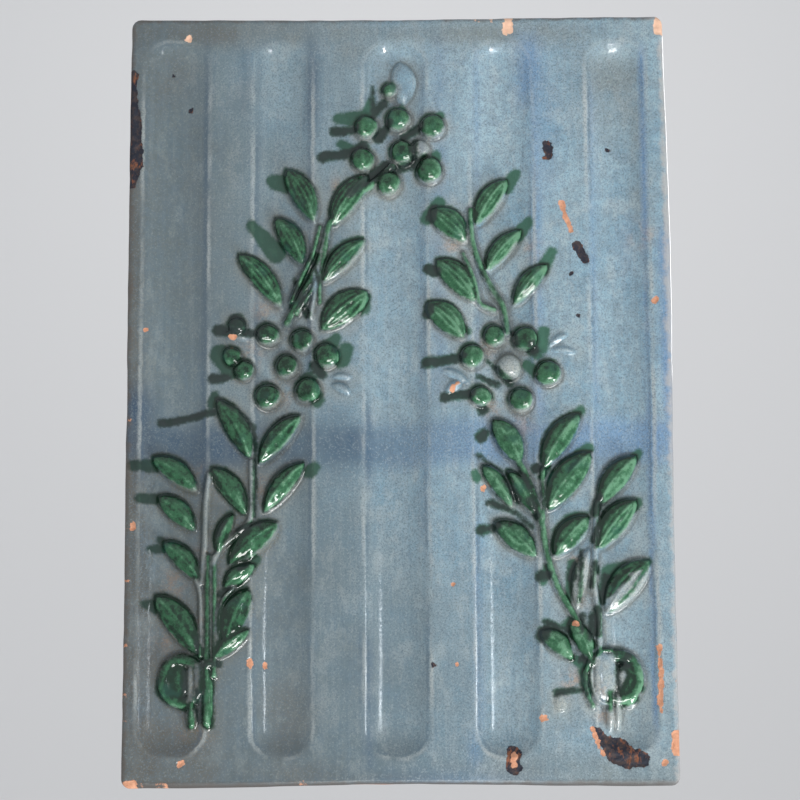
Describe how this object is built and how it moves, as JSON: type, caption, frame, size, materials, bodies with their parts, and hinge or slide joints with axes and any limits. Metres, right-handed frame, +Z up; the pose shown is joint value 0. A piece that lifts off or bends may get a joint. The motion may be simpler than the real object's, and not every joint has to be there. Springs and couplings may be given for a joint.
{
  "type": "stove tile",
  "caption": "Upright glazed stove tile: fluted rectangular face with two berried laurel sprays in relief, on a hollow collar that is bedded into the stove.",
  "frame": {"origin": "on the flat back rim of the collar, in the middle of its lower run, in the plane where the tile is bedded into the stove", "axes": "+Z up along the flutes, +X to the viewer's right across the face, +Y from the glazed face towards the stove's core"},
  "size_m": [0.232, 0.0652, 0.33],
  "materials": {
    "glazed_earthenware": "glossy blue-grey lead glaze with painted green relief on red earthenware, bare and sooty at the back"
  },
  "bodies": {
    "root": {"tile": "glazed_earthenware"}
  },
  "joints": []
}
